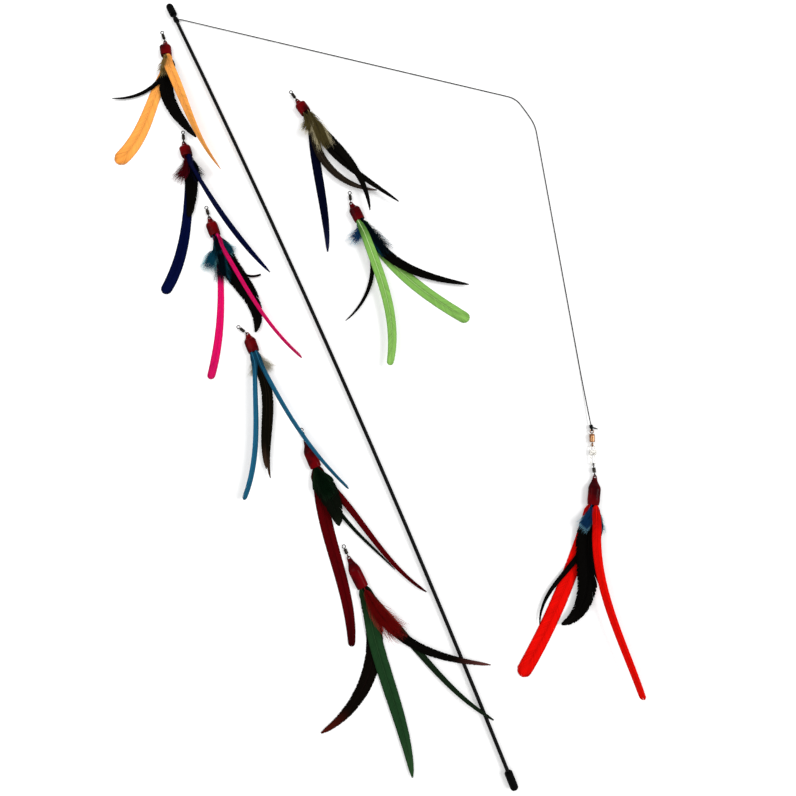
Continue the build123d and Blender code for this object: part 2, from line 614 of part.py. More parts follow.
def make_nodes():
    nodes = {
        "rod": make_rod(),
        "tip_cap": rod_place(ROD_LENGTH) * make_cap(TIP_CAP_LENGTH),
        "grip_cap": Rot(0, 0, 180) * make_cap(GRIP_CAP_LENGTH),
        "tip_whipping": make_whipping(),
        "line": make_line(),
        "line_knot": make_knot(),
        "swivel_upper_eye": SWIVEL_PLACE * Rot(0, 0, 180) * make_eye(WAND_SWIVEL, False),
        "swivel_barrel": SWIVEL_PLACE * make_barrel(WAND_SWIVEL),
        "swivel_lower_eye": SWIVEL_PLACE * make_eye(WAND_SWIVEL, True),
        "snap_wire": make_snap_wire(),
        "snap_gate": make_snap_gate(),
        "snap_keeper": make_snap_keeper(),
    }
    for name, lure in LURES.items():
        attached = name == "red"
        place = red_place() if attached else spare_place(lure)
        eye, swivel = make_lure_swivel(lure.swing, attached)
        tails, trim = make_feathers(lure)
        nodes[f"{name}_eye"] = place * eye
        nodes[f"{name}_swivel"] = place * swivel
        nodes[f"{name}_sleeve"] = place * make_sleeve(lure)
        nodes[f"{name}_long_feathers"] = place * tails
        nodes[f"{name}_hackles"] = place * trim
        forward = heading_vector(lure.heading + lure.swing)
        hole = [round(c, 3) for c in place.position]
        print(name, "tab hole", hole, "swivel axis", [round(c, 5) for c in forward])
    return nodes


def main():
    os.makedirs("parts", exist_ok=True)
    print("swivel centre", SWIVEL_CENTRE, "forward", SWIVEL_FORWARD)
    print("snap pivot", SNAP_PIVOT, "gate pivot", GATE_PIVOT.position, "hook point", HOOK_POINT)
    for name, shape in make_nodes().items():
        solids = shape.solids()
        export_step(solids[0] if len(solids) == 1 else Compound(solids), f"parts/{name}.step")


main()
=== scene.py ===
import bpy
import bmesh
import math
import random
import numpy as np
from mathutils import Matrix, Vector, noise


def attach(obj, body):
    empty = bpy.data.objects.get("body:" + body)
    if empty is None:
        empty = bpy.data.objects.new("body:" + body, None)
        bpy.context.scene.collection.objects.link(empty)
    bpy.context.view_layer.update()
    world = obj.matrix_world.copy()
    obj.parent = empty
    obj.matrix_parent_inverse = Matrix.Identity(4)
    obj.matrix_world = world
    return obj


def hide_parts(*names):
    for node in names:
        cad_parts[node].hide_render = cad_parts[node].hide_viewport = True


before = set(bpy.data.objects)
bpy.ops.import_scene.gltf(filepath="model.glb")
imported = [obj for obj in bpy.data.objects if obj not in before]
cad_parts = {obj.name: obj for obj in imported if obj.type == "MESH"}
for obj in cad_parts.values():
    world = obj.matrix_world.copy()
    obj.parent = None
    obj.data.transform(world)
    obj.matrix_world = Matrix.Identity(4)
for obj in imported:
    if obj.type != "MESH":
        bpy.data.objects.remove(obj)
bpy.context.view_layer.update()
scene = bpy.context.scene
mm = 0.001
floorLevel = -3.75  # millimetres, where the caps touch the surface
upward = Vector((0, 0, 1))

# Camera, at the photograph's angle
cameraLook = dict(place=(0.0116, 0.3059, 0.57615), right=(0.9259, -0.3776, 0.0), lean=6.5,
                  focalShare=598 / 796, sensor=36.0)


def makeCamera(look):
    right = Vector(look["right"]).normalized()
    ahead = upward.cross(right)  # up the photograph, along the floor
    lean = math.radians(look["lean"])
    forward = ahead * math.sin(lean) - upward * math.cos(lean)
    over = ahead * math.cos(lean) + upward * math.sin(lean)
    data = bpy.data.cameras.new("camera")
    data.sensor_width = look["sensor"]
    data.lens = look["sensor"] * look["focalShare"]
    data.clip_start = 0.01
    camera = bpy.data.objects.new("camera", data)
    turn = Matrix((right, over, -forward)).transposed().to_4x4()
    camera.matrix_world = Matrix.Translation(look["place"]) @ turn
    scene.collection.objects.link(camera)
    scene.camera = camera


makeCamera(cameraLook)
print("camera in place")


# Small helpers for meshes and objects
def linkObject(name, data):
    thing = bpy.data.objects.new(name, data)
    scene.collection.objects.link(thing)
    return thing


def meshOf(thing):
    graph = bpy.context.evaluated_depsgraph_get()
    return bpy.data.meshes.new_from_object(thing.evaluated_get(graph))


def dropObject(thing):
    data = thing.data
    bpy.data.objects.remove(thing)
    if isinstance(data, bpy.types.Curve):
        bpy.data.curves.remove(data)
    else:
        bpy.data.meshes.remove(data)


def takeMesh(name, bm):
    mesh = bpy.data.meshes.new(name)
    bm.to_mesh(mesh)
    bm.free()
    return mesh


def joinMeshes(name, meshes):
    bm = bmesh.new()
    for mesh in meshes:
        bm.from_mesh(mesh)
    joined = takeMesh(name, bm)
    for mesh in meshes:
        bpy.data.meshes.remove(mesh)
    return joined


def dressPiece(thing, material, body, slot, *nodes):
    thing.data.materials.clear()
    thing.data.materials.append(material)
    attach(thing, body)
    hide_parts(*nodes)
    return thing


def smoothShade(mesh, degrees):
    mesh.shade_smooth()
    mesh.set_sharp_from_angle(angle=math.radians(degrees))


# Shader helpers
def fromScreen(red, green, blue):
    linear = []
    for value in (red, green, blue):
        share = value / 255
        linear.append(share / 12.92 if share <= 0.04045 else ((share + 0.055) / 1.055) ** 2.4)
    return (*linear, 1.0)


def addNode(tree, kind, **settings):
    node = tree.nodes.new(kind)
    for key, value in settings.items():
        setattr(node, key, value)
    return node


def addRange(tree, value, fromLow, fromHigh, toLow, toHigh):
    node = addNode(tree, "ShaderNodeMapRange", interpolation_type="SMOOTHSTEP")
    for socket, number in zip(node.inputs[1:5], (fromLow, fromHigh, toLow, toHigh)):
        socket.default_value = number
    tree.links.new(value, node.inputs["Value"])
    return node.outputs["Result"]


def addMix(tree, factor, first, second):
    node = addNode(tree, "ShaderNodeMix", data_type="RGBA")
    tree.links.new(factor, node.inputs[0])
    for socket, colour in ((node.inputs[6], first), (node.inputs[7], second)):
        if isinstance(colour, tuple):
            socket.default_value = colour
        else:
            tree.links.new(colour, socket)
    return node.outputs[2]


def addDim(tree, colour, amount):
    node = addNode(tree, "ShaderNodeVectorMath", operation="SCALE")
    tree.links.new(colour, node.inputs[0])
    tree.links.new(amount, node.inputs["Scale"])
    return node.outputs[0]


def startGroup(name, inputs, outputs):
    group = bpy.data.node_groups.new(name, "ShaderNodeTree")
    for label, kind in inputs:
        group.interface.new_socket(label, in_out="INPUT", socket_type="NodeSocket" + kind)
    for label, kind in outputs:
        group.interface.new_socket(label, in_out="OUTPUT", socket_type="NodeSocket" + kind)
    return group, addNode(group, "NodeGroupInput"), addNode(group, "NodeGroupOutput")


# Blotches and fine grain, for rubber, metal, plastic and the rod
mottleLook = dict(blotchDetail=4.0, blotchEdges=(0.34, 0.66), grainDetail=2.0, grainFiner=6.0)


def makeMottleGroup(look):
    group, given, put = startGroup(
        "mottle", (("Vector", "Vector"), ("Scale", "Float")), (("Mask", "Float"), ("Height", "Float")))
    broad = addNode(group, "ShaderNodeTexNoise")
    broad.inputs["Detail"].default_value = look["blotchDetail"]
    group.links.new(given.outputs["Vector"], broad.inputs["Vector"])
    group.links.new(given.outputs["Scale"], broad.inputs["Scale"])
    blotches = addRange(group, broad.outputs["Fac"], *look["blotchEdges"], 0.0, 1.0)
    group.links.new(blotches, put.inputs["Mask"])
    finer = addNode(group, "ShaderNodeMath", operation="MULTIPLY")
    finer.inputs[1].default_value = look["grainFiner"]
    group.links.new(given.outputs["Scale"], finer.inputs[0])
    grain = addNode(group, "ShaderNodeTexNoise")
    grain.inputs["Detail"].default_value = look["grainDetail"]
    group.links.new(given.outputs["Vector"], grain.inputs["Vector"])
    group.links.new(finer.outputs[0], grain.inputs["Scale"])
    group.links.new(grain.outputs["Fac"], put.inputs["Height"])
    return group


# Colour of a feather along its shaft and out along its barbs, with painted shade darkening the barbs next to
# the shaft
# How dark the painted shade next to the shaft is, and how far out along the barbs it fades
toneLook = dict(rootEnds=(0.03, 0.22), tipStarts=(0.74, 1.0), barbTones=(0.74, 1.1), shaftPaintedShade=0.84,
                paintedShadeEnds=0.45, rough=(0.62, 0.44))


def makePlumeGroup(look):
    colours = [(label, "Color") for label in ("Root", "Vane", "Tip", "Shaft Color")]
    places = [(label, "Float") for label in ("Along", "Out", "Tone", "Shaft")]
    group, given, put = startGroup(
        "plumeTone", colours + places, (("Color", "Color"), ("Roughness", "Float")))
    out = given.outputs
    fromRoot = addRange(group, out["Along"], *look["rootEnds"], 0, 1)
    rooted = addMix(group, fromRoot, out["Root"], out["Vane"])
    tipped = addMix(group, addRange(group, out["Along"], *look["tipStarts"], 0, 1), rooted, out["Tip"])
    toned = addDim(group, tipped, addRange(group, out["Tone"], 0.0, 1.0, *look["barbTones"]))
    # painted shade: each barb darker next to the shaft
    shadedNearShaft = addDim(group, toned, addRange(group, out["Out"], 0.0, look["paintedShadeEnds"], look["shaftPaintedShade"], 1.0))
    group.links.new(addMix(group, out["Shaft"], shadedNearShaft, out["Shaft Color"]), put.inputs["Color"])
    group.links.new(addRange(group, out["Tone"], 0.0, 1.0, *look["rough"]), put.inputs["Roughness"])
    return group


mottleGroup = makeMottleGroup(mottleLook)
plumeGroup = makePlumeGroup(toneLook)


# Hard finishes: two colours and two roughnesses blended by the blotches, with a fine bump
hardFinishes = {
    "rodBlack": dict(light=(9, 9, 10), dark=(2, 2, 2), rough=(0.3, 0.5), scale=420.0,
                     stretch=(1, 0.02, 1), bump=0.06, metal=0.0, gloss=0.05),
    "capRubber": dict(light=(6, 6, 6), dark=(1, 1, 1), rough=(0.55, 0.78), scale=520.0,
                      bump=0.22, metal=0.0, gloss=0.03),
    "cordGrey": dict(light=(44, 44, 44), dark=(16, 16, 17), rough=(0.55, 0.75), scale=900.0,
                     bump=0.1, metal=0.0, gloss=0.06),
    # The line's own colour painted darker: painted shade for the tight wraps of the knot and the whipping
    "cordPaintedShade": dict(light=(14, 14, 14), dark=(3, 3, 4), rough=(0.55, 0.75), scale=900.0,
                     bump=0.1, metal=0.0, gloss=0.08),
    "swivelBrass": dict(light=(178, 132, 94), dark=(84, 54, 36), rough=(0.18, 0.36), scale=620.0,
                        bump=0.03, metal=1.0, gloss=0.5),
    "snapNickel": dict(light=(222, 220, 214), dark=(176, 172, 164), rough=(0.14, 0.30), scale=560.0,
                       bump=0.02, metal=1.0, gloss=0.5),
    "darkNickel": dict(light=(54, 49, 44), dark=(14, 13, 12), rough=(0.22, 0.42), scale=640.0,
                       bump=0.03, metal=1.0, gloss=0.5),
    "sleeveRed": dict(light=(100, 1, 6), dark=(46, 1, 4), rough=(0.16, 0.24), scale=60.0,
                      bump=0.05, metal=0.0, gloss=0.025),
}

grainDepth = 0.0004  # metres


def makeHardFinish(name, look):
    material = bpy.data.materials.new(name)
    material.use_nodes = True
    tree = material.node_tree
    shader = tree.nodes["Principled BSDF"]
    shader.inputs["Metallic"].default_value = look["metal"]
    shader.inputs["Specular IOR Level"].default_value = look["gloss"]
    coordinates = addNode(tree, "ShaderNodeTexCoord")
    mapping = addNode(tree, "ShaderNodeMapping")
    mapping.inputs["Scale"].default_value = look.get("stretch", (1, 1, 1))
    tree.links.new(coordinates.outputs["Object"], mapping.inputs["Vector"])
    mottle = addNode(tree, "ShaderNodeGroup", node_tree=mottleGroup)
    mottle.inputs["Scale"].default_value = look["scale"]
    tree.links.new(mapping.outputs["Vector"], mottle.inputs["Vector"])
    mask = mottle.outputs["Mask"]
    colour = addMix(tree, mask, fromScreen(*look["dark"]), fromScreen(*look["light"]))
    tree.links.new(colour, shader.inputs["Base Color"])
    tree.links.new(addRange(tree, mask, 0, 1, *look["rough"]), shader.inputs["Roughness"])
    bump = addNode(tree, "ShaderNodeBump")
    bump.inputs["Strength"].default_value = look["bump"]
    bump.inputs["Distance"].default_value = grainDepth
    tree.links.new(mottle.outputs["Height"], bump.inputs["Height"])
    tree.links.new(bump.outputs["Normal"], shader.inputs["Normal"])
    return material


finishes = {name: makeHardFinish(name, look) for name, look in hardFinishes.items()}

# Dyes, as they look on screen: base of the vane, vane, tip and shaft
dyes = {
    "orange": ((246, 160, 76), (255, 172, 82), (250, 161, 72), (255, 178, 92)),
    "navy": ((3, 4, 38), (2, 8, 48), (3, 12, 56), (6, 12, 58)),
    "ink": ((4, 3, 7), (1, 3, 24), (24, 28, 58), (6, 8, 32)),
    "pink": ((168, 8, 68), (224, 14, 98), (200, 20, 90), (228, 30, 110)),
    "tealBlue": ((16, 60, 82), (32, 99, 132), (28, 88, 116), (40, 108, 140)),
    "maroon": ((56, 1, 4), (82, 1, 5), (40, 1, 2), (84, 4, 8)),
    "forest": ((24, 45, 22), (30, 62, 33), (43, 72, 41), (44, 76, 44)),
    "deepForest": ((20, 34, 16), (20, 36, 20), (22, 30, 20), (34, 54, 34)),
    "lime": ((84, 130, 58), (134, 187, 91), (141, 191, 96), (194, 226, 156)),
    "red": ((206, 10, 6), (240, 12, 5), (230, 12, 5), (242, 18, 10)),
    "black": ((3, 2, 2), (4, 3, 2), (10, 8, 6), (12, 10, 9)),
    "blackBrown": ((5, 5, 4), (10, 8, 3), (62, 44, 33), (34, 26, 18)),
    "blackRed": ((6, 4, 2), (10, 6, 3), (78, 20, 10), (28, 14, 10)),
    "blackPink": ((6, 3, 2), (5, 4, 2), (96, 54, 50), (20, 12, 10)),
    "inkBrown": ((36, 28, 13), (7, 6, 4), (7, 7, 9), (24, 19, 13)),
    "brown": ((34, 29, 18), (34, 28, 21), (74, 61, 56), (70, 59, 48)),
    "darkGreen": ((9, 27, 11), (8, 12, 6), (20, 25, 15), (20, 33, 21)),
    # For down, the tip colour goes on the tuft's edges and end and is brightened as a painted halo of light
    "khakiDown": ((120, 96, 48), (150, 124, 70), (180, 158, 106), (170, 148, 96)),
    "oliveDown": ((58, 50, 26), (104, 92, 54), (220, 208, 168), (130, 114, 76)),
    "crimsonDown": ((60, 3, 10), (84, 6, 18), (112, 20, 38), (92, 16, 28)),
    "inkDown": ((5, 5, 12), (6, 7, 18), (12, 16, 40), (14, 16, 30)),
    "tealDown": ((4, 30, 44), (18, 84, 108), (120, 196, 208), (40, 92, 116)),
    "deepTealDown": ((2, 8, 14), (4, 20, 30), (20, 76, 94), (10, 30, 42)),
    "creamDown": ((170, 162, 134), (204, 200, 180), (222, 220, 208), (206, 200, 180)),
    "greenDown": ((6, 22, 9), (8, 30, 14), (20, 46, 26), (16, 36, 22)),
    "redDown": ((86, 6, 6), (128, 14, 14), (170, 52, 46), (120, 24, 22)),
    "blueDown": ((8, 28, 58), (24, 70, 116), (128, 184, 208), (46, 84, 132)),
}

fuzzLook = dict(gloss=0.015, scale=5200.0, bump=0.15, depth=0.0002)


def makeDye(name, colours):
    material = bpy.data.materials.new(name + "Feather")
    material.use_nodes = True
    tree = material.node_tree
    shader = tree.nodes["Principled BSDF"]
    shader.inputs["Specular IOR Level"].default_value = fuzzLook["gloss"]
    plume = addNode(tree, "ShaderNodeGroup", node_tree=plumeGroup)
    for label, colour in zip(("Root", "Vane", "Tip", "Shaft Color"), colours):
        plume.inputs[label].default_value = fromScreen(*colour)
    for label in ("Along", "Out", "Tone", "Shaft"):
        attribute = addNode(tree, "ShaderNodeAttribute", attribute_name=label.lower())
        tree.links.new(attribute.outputs["Fac"], plume.inputs[label])
    tree.links.new(plume.outputs["Color"], shader.inputs["Base Color"])
    tree.links.new(plume.outputs["Roughness"], shader.inputs["Roughness"])
    coordinates = addNode(tree, "ShaderNodeTexCoord")
    fuzz = addNode(tree, "ShaderNodeTexNoise")
    fuzz.inputs["Scale"].default_value = fuzzLook["scale"]
    tree.links.new(coordinates.outputs["Object"], fuzz.inputs["Vector"])
    bump = addNode(tree, "ShaderNodeBump")
    bump.inputs["Strength"].default_value = fuzzLook["bump"]
    bump.inputs["Distance"].default_value = fuzzLook["depth"]
    tree.links.new(fuzz.outputs["Fac"], bump.inputs["Height"])
    tree.links.new(bump.outputs["Normal"], shader.inputs["Normal"])
    return material


dyeMaterials = {name: makeDye(name, colours) for name, colours in dyes.items()}
print("materials:", len(finishes), "hard finishes,", len(dyeMaterials), "dyes")

# CAD pieces that keep their shape
keptFinishes = {
    "rod": "rodBlack", "tip_cap": "capRubber", "grip_cap": "capRubber",
    "swivel_upper_eye": "swivelBrass", "swivel_barrel": "swivelBrass", "swivel_lower_eye": "swivelBrass",
    "snap_wire": "snapNickel", "snap_gate": "snapNickel", "snap_keeper": "snapNickel",
}


def dressNode(name, finish):
    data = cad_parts[name].data
    data.materials.clear()
    data.materials.append(finishes[finish])


for nodeName, finishName in keptFinishes.items():
    dressNode(nodeName, finishName)

# Line: three strands twisted together, from the whipping on the rod to the knot at the swivel
lineLook = dict(
    route=((-27.45, 824.46, -2.25), (-24.07, 823.55, -2.4), (-18.43, 819.41, -2.42), (253.0, 620.06, -3.21),
           (267.1, 609.7, -3.25), (271.0, 592.5, -3.25), (273.9, 575.5, -3.25), (269.8, 558.8, -3.25),
           (218.3, 349.9, -3.25), (208.7, 311.1, -3.25), (199.2, 272.3, -1.15)),
    length=711.0, diameter=0.9, strands=3, strandRadius=0.31, strandOffset=0.23, lay=4.2, step=0.55,
    woundStep=0.4)


def routePoints(route):
    data = bpy.data.curves.new("route", "CURVE")
    data.dimensions = "3D"
    data.resolution_u = 64
    spline = data.splines.new("NURBS")
    spline.points.add(len(route) - 1)
    for point, place in zip(spline.points, route):
        point.co = (*(Vector(place) * mm), 1.0)
    spline.order_u = 3
    spline.use_endpoint_u = True
    guide = linkObject("route", data)
    mesh = meshOf(guide)
    points = [vertex.co.copy() for vertex in mesh.vertices]
    bpy.data.meshes.remove(mesh)
    dropObject(guide)
    return points


def evenPoints(points, step):
    spaced = [points[0]]
    left = step
    for start, end in zip(points, points[1:]):
        run = (end - start).length
        travel = left
        while travel <= run:
            spaced.append(start.lerp(end, travel / run))
            travel += step
        left = travel - run
    spaced.append(points[-1])
    return spaced


# One strand's points, wound round the path
def strandPoints(path, look, phase):
    tangent = (path[1] - path[0]).normalized()
    side = tangent.orthogonal().normalized()
    travel = 0.0
    wound = []
    for n, place in enumerate(path):
        ahead = path[min(n + 1, len(path) - 1)] - path[max(n - 1, 0)]
        tangent = ahead.normalized()
        side = (side - tangent * side.dot(tangent)).normalized()
        angle = phase + 2 * math.pi * travel / (look["lay"] * mm)
        offset = side * math.cos(angle) + tangent.cross(side) * math.sin(angle)
        wound.append(place + offset * look["strandOffset"] * mm)
        if n + 1 < len(path):
            travel += (path[n + 1] - place).length
    return wound


def roundTube(name, paths, radius, taper=1.0, sides=1):
    data = bpy.data.curves.new(name, "CURVE")
    data.dimensions = "3D"
    data.twist_mode = "MINIMUM"
    data.bevel_depth = radius * mm
    data.bevel_resolution = sides
    data.use_fill_caps = True
    for path in paths:
        spline = data.splines.new("POLY")
        spline.points.add(len(path) - 1)
        spline.points.foreach_set("co", [value for place in path for value in (*place, 1.0)])
        last = len(path) - 1
        spline.points.foreach_set("radius", [1 + (taper - 1) * n / last for n in range(len(path))])
    holder = linkObject(name, data)
    mesh = meshOf(holder)
    dropObject(holder)
    bm = bmesh.new()
    bm.from_mesh(mesh)
    bmesh.ops.remove_doubles(bm, verts=bm.verts, dist=1e-7)
    bmesh.ops.recalc_face_normals(bm, faces=bm.faces)
    bm.to_mesh(mesh)
    bm.free()
    smoothShade(mesh, 60)
    return mesh


def twistedCord(name, paths, look):
    strands = []
    for path in paths:
        for n in range(look["strands"]):
            strands.append(strandPoints(path, look, 2 * math.pi * n / look["strands"]))
    return roundTube(name, strands, look["strandRadius"])


linePath = evenPoints(routePoints(lineLook["route"]), lineLook["step"] * mm)
linePiece = linkObject("twistedLine", twistedCord("twistedLine", [linePath], lineLook))
dressPiece(linePiece, finishes["cordGrey"], "wand", "line_grey", "line")

# Whipping: turns of the same line round the rod, under the tip cap
whippingLook = dict(turns=3, pitch=1.4, radius=2.25, station=825.05, bowRadius=12000.0, tail=0.9, perTurn=24)


def rodPlace(station, look):
    angle = station / look["bowRadius"]
    place = Vector((look["bowRadius"] * (math.cos(angle) - 1), look["bowRadius"] * math.sin(angle), 0))
    return Matrix.Scale(mm, 4) @ Matrix.Translation(place) @ Matrix.Rotation(angle, 4, "Z")


def whippingPath(look):
    length = look["turns"] * look["pitch"]
    path = [Vector((-look["tail"], -length, -look["radius"]))]
    for n in range(look["turns"] * look["perTurn"] + 1):
        angle = 2 * math.pi * n / look["perTurn"]
        along = -length + look["pitch"] * n / look["perTurn"]
        path.append(Vector((math.sin(angle) * look["radius"], along, -math.cos(angle) * look["radius"])))
    path.append(Vector((look["tail"], 0, -look["radius"])))
    place = rodPlace(look["station"], look)
    return [place @ point for point in path]


whippingCoil = evenPoints(whippingPath(whippingLook), lineLook["woundStep"] * mm)
whippingPiece = linkObject("tipWhipping", twistedCord("tipWhipping", [whippingCoil], lineLook))
# The whipping wears the line's colour darkened as painted shade
dressPiece(whippingPiece, finishes["cordPaintedShade"], "wand", "line_grey", "tip_whipping")

# Knot: the line through the swivel's eye and back, wrapped on itself, with a frayed tag end
knotLook = dict(place=(198.058, 267.638, -1.15), heading=-103.76, length=4.8, wrapRadius=1.1, wraps=4,
                wrapGap=0.45, perWrap=20, loopRadius=1.0, loopPoints=24, corePoints=8, tagLength=5.4,
                tagAngle=66.0, tagPoints=6, fray=1.1, frays=7, fraySpread=0.5, frayRadius=0.16, frayTaper=0.4)
knotCord = dict(lineLook, strandRadius=0.42, strandOffset=0.32)  # bulkier than the line


def knotPaths(look):
    place = Matrix.Scale(mm, 4) @ Matrix.Translation(look["place"])
    place = place @ Matrix.Rotation(math.radians(look["heading"]), 4, "Z")
    count = look["corePoints"]
    core = [Vector((-look["length"] * (1 - n / count), 0, 0)) for n in range(count - 1)]
    for n in range(look["loopPoints"] + 1):
        angle = math.pi - 2 * math.pi * n / look["loopPoints"]
        core.append(Vector((math.cos(angle), 0, math.sin(angle))) * look["loopRadius"])
    wraps = []
    radius = look["wrapRadius"]
    count = look["wraps"] * look["perWrap"]
    for n in range(count + 1):
        angle = 2 * math.pi * look["wraps"] * n / count
        along = -look["loopRadius"] - look["wrapGap"]
        along += (look["loopRadius"] + 2 * look["wrapGap"] - look["length"]) * n / count
        wraps.append(Vector((along, math.cos(angle) * radius, math.sin(angle) * radius)))
    lean = math.radians(look["tagAngle"])
    reach = Vector((math.cos(lean), math.sin(lean), 0))
    middle = Vector((-look["length"] / 2, 0, 0))
    count = look["tagPoints"]
    tag = [middle + reach * look["tagLength"] * n / count for n in range(count + 1)]
    return [[place @ point for point in path] for path in (core, wraps, tag)]


def frayedEnd(path, look):
    ends = []
    tangent = (path[-1] - path[-2]).normalized()
    side = tangent.cross(upward).normalized()
    for n in range(look["frays"]):
        angle = 2 * math.pi * n / look["frays"]
        spread = (side * math.cos(angle) + side.cross(tangent) * math.sin(angle)) * look["fraySpread"]
        ends.append([path[-1] + (tangent * step + spread * step * step) * look["fray"] * mm
                     for step in (0, 0.5, 1)])
    return ends


def makeKnot():
    paths = knotPaths(knotLook)
    spaced = [evenPoints(path, knotCord["woundStep"] * mm) for path in paths]
    cords = twistedCord("lineKnot", spaced, knotCord)
    frays = frayedEnd(paths[-1], knotLook)
    fray = roundTube("fray", frays, knotLook["frayRadius"], knotLook["frayTaper"], 0)
    piece = linkObject("lineKnot", joinMeshes("lineKnot", [cords, fray]))
    # The knot wears the line's colour darkened as painted shade
    return dressPiece(piece, finishes["cordPaintedShade"], "wand", "line_grey", "line_knot")


knotPiece = makeKnot()
onLine = [knotPiece, whippingPiece]
onLine += [name for name, finish in keptFinishes.items() if finish in ("swivelBrass", "snapNickel")]
print("line:", len(linePath), "points")

# Sleeves: red tube shrunk over the quills and pressed flat to a tab with a punched hole
sleeveLook = dict(
    length=25.0, width=11.5, height=8.5, wall=0.7, depth=1.2, sides=40, steps=28, square=0.82, axisHeight=2.6,
    tabThick=1.2, tabHole=1.0, tabEnd=1.9, tabWidth=6.0, tabSteps=4, tabTurns=(0.35, 0.7, 1.0, 1.25, 1.45),
    holeSides=24, punchDepth=4.0, lip=0.12, lowest=0.15, dent=0.22, tabDent=0.05,
    ripple=(1.6, 0.09), crease=(0.8, 0.5), rippleShare=0.7, creaseShare=0.3,  # noise round and along the tube
    flare=((0.18, 0.55, 0.16), (0.25, 0.72, 0.42), (0.33, 0.90, 0.80), (0.42, 1.00, 1.00),
           (0.85, 0.99, 1.00), (1.00, 0.93, 0.95)))


def ease(share):
    share = min(max(share, 0.0), 1.0)
    return share * share * (3 - 2 * share)


def readTable(table, share, column):
    for low, high in zip(table, table[1:]):
        if share <= high[0]:
            reach = max(share - low[0], 0.0) / (high[0] - low[0])
            return low[column] + (high[column] - low[column]) * reach
    return table[-1][column]


def wobble(angle, along, scales, seed):
    around, length = scales
    return noise.noise(Vector((math.cos(angle) * around, math.sin(angle) * around, along * length + seed)))


# Puts one ring of the sleeve at a place along it
def setRing(ring, turn, along, wide, high, centre, look, dent, seed):
    for vertex in ring:
        angle = vertex[turn]
        flat = look["square"]
        across = math.copysign(abs(math.cos(angle)) ** flat, math.cos(angle))
        over = math.copysign(abs(math.sin(angle)) ** flat, math.sin(angle))
        ripple = wobble(angle, along, look["ripple"], seed) * look["rippleShare"]
        crease = wobble(angle, along, look["crease"], seed * 2) * look["creaseShare"]
        push = 1 + (ripple + crease) * dent * 2 / look["width"]
        vertex.co = (along, across * wide / 2 * push, max(centre + over * high / 2 * push, look["lowest"]))


def growRing(bm, edges):
    grown = bmesh.ops.extrude_edge_only(bm, edges=edges)["geom"]
    verts = [item for item in grown if isinstance(item, bmesh.types.BMVert)]
    fresh = set(verts)
    loop = [item for item in grown
            if isinstance(item, bmesh.types.BMEdge) and fresh.issuperset(item.verts)]
    return verts, loop


def makeSleeve(name, share, place, seed):
    look = sleeveLook
    mouth = look["length"] * share
    bm = bmesh.new()
    turn = bm.verts.layers.float.new("turn")
    ring = bmesh.ops.create_circle(bm, segments=look["sides"], radius=1.0)["verts"]
    for vertex in ring:
        vertex[turn] = math.atan2(vertex.co.y, vertex.co.x)
    rim = list(bm.edges)
    flareStart = look["flare"][0][0]
    edges = rim
    for n in range(look["steps"] + 1):  # mouth to the start of the tab
        along = 1 - (1 - flareStart) * n / look["steps"]
        wide = look["width"] * readTable(look["flare"], along, 1)
        shareHigh = readTable(look["flare"], along, 2)
        high = max(look["height"] * shareHigh, look["tabThick"])
        centre = look["axisHeight"] + (look["height"] / 2 - look["axisHeight"]) * shareHigh
        dent = look["dent"] * shareHigh
        setRing(ring, turn, along * mouth, wide, high, centre, look, dent, seed)
        ring, edges = growRing(bm, edges)
    tabStart = flareStart * mouth
    end = look["tabEnd"]
    tabRings = []
    for n in range(1, look["tabSteps"] + 1):
        wide = look["tabWidth"] + (2 * end - look["tabWidth"]) * n / look["tabSteps"]
        tabRings.append((tabStart * (1 - n / look["tabSteps"]), wide))
    tabRings += [(-end * math.sin(lean), 2 * end * math.cos(lean)) for lean in look["tabTurns"]]
    for n, (along, wide) in enumerate(tabRings):
        if n:
            ring, edges = growRing(bm, edges)
        setRing(ring, turn, along, wide, look["tabThick"], look["axisHeight"], look, look["tabDent"], seed)
    bmesh.ops.edgeloop_fill(bm, edges=edges)
    edges = rim
    lastWide = look["flare"][-1][1] * look["width"]
    lastHigh = look["flare"][-1][2] * look["height"]
    centre = look["height"] / 2
    bottom = mouth - look["depth"]
    lipRings = ((mouth + look["lip"], 0.5), (mouth, 2.0), (mouth - look["depth"] / 2, 2.0), (bottom, 2.0))
    for along, thin in lipRings:  # round the lip and into the mouth, so many walls narrower
        ring, edges = growRing(bm, edges)
        inset = look["wall"] * thin
        setRing(ring, turn, along, lastWide - inset, lastHigh - inset, centre, look, look["dent"], seed)
    bmesh.ops.edgeloop_fill(bm, edges=edges)
    bmesh.ops.recalc_face_normals(bm, faces=bm.faces)
    bmesh.ops.transform(bm, matrix=place, verts=bm.verts)
    sleeve = linkObject(name, takeMesh(name, bm))
    punch = bmesh.new()
    bmesh.ops.create_cone(punch, cap_ends=True, segments=look["holeSides"], radius1=look["tabHole"],
                          radius2=look["tabHole"], depth=look["punchDepth"],
                          matrix=Matrix.Translation((0, 0, look["axisHeight"])))
    bmesh.ops.transform(punch, matrix=place, verts=punch.verts)
    punchPiece = linkObject("punch", takeMesh("punch", punch))
    cut = sleeve.modifiers.new("hole", "BOOLEAN")
    cut.operation = "DIFFERENCE"
    cut.solver = "EXACT"
    cut.object = punchPiece
    punched = meshOf(sleeve)
    dropObject(sleeve)
    dropObject(punchPiece)
    punched.name = name
    smoothShade(punched, 38)
    return linkObject(name, punched)


